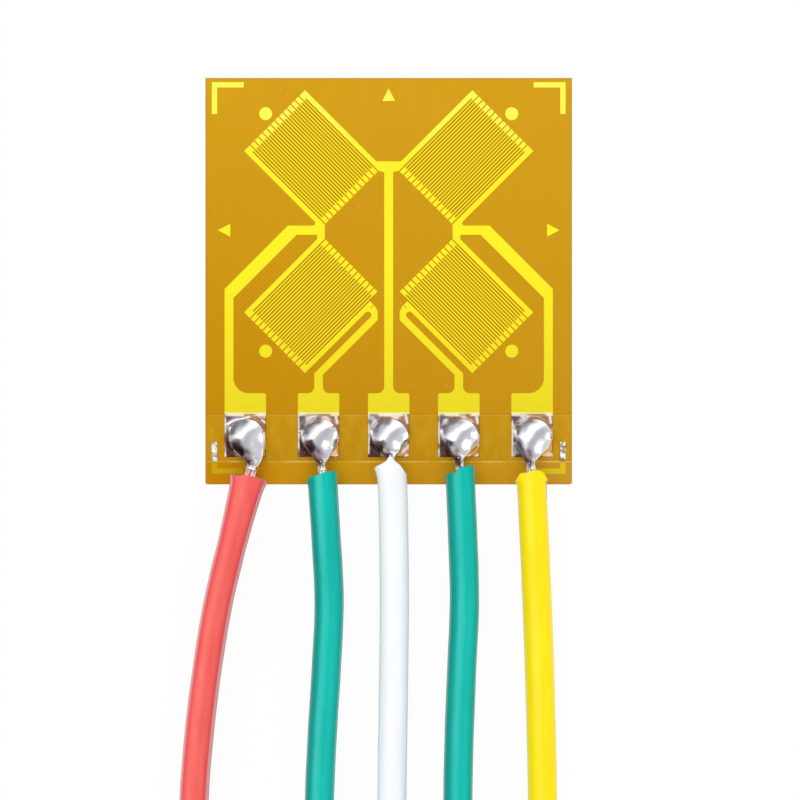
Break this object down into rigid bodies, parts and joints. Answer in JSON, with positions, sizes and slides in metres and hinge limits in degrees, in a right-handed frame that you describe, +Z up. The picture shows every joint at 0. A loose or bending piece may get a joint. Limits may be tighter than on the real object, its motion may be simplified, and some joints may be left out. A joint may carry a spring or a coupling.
{
  "type": "foil strain gauge",
  "caption": "Foil strain gauge on amber polyimide film: a full bridge of slanted etched grids with solder pads and soldered, coloured insulated leads.",
  "frame": {"origin": "centre of the film's bonding face, on its underside", "axes": "+X across the film towards the yellow lead, +Y along the film away from the leads, +Z up from the bonding face through the foil"},
  "size_m": [0.0124, 0.0473, 0.0012],
  "materials": {
    "film_amber": "satin polyimide",
    "cover_clear": "clear amber polyimide, gloss",
    "foil": "bright rolled constantan foil seen through amber film",
    "solder": "bright tin solder",
    "tinned_copper": "tinned strands",
    "pvc_red": "smooth PVC",
    "pvc_green": "smooth PVC",
    "pvc_white": "smooth PVC",
    "pvc_yellow": "smooth PVC"
  },
  "bodies": {
    "root": {"backing_film": "film_amber", "foil_circuit": "foil", "cover_film": "cover_clear", "cover_strip": "cover_clear", "corner_mark_upper_left": "foil", "corner_mark_upper_right": "foil", "corner_mark_lower_left": "foil", "corner_mark_lower_right": "foil", "arrow_mark_top": "foil", "arrow_mark_left": "foil", "arrow_mark_right": "foil", "dot_mark_upper_left": "foil", "dot_mark_upper_right": "foil", "dot_mark_lower_left": "foil", "dot_mark_lower_right": "foil", "solder_fleck_left": "solder", "solder_fleck_right": "solder", "solder_joint_red": "solder", "solder_joint_green_left": "solder", "solder_joint_white": "solder", "solder_joint_green_right": "solder", "solder_joint_yellow": "solder", "core_red": "tinned_copper", "core_green_left": "tinned_copper", "core_white": "tinned_copper", "core_green_right": "tinned_copper", "core_yellow": "tinned_copper", "lead_red": "pvc_red", "lead_green_left": "pvc_green", "lead_white": "pvc_white", "lead_green_right": "pvc_green", "lead_yellow": "pvc_yellow", "tip_red": "tinned_copper", "tip_green_left": "tinned_copper", "tip_white": "tinned_copper", "tip_green_right": "tinned_copper", "tip_yellow": "tinned_copper"}
  },
  "joints": []
}
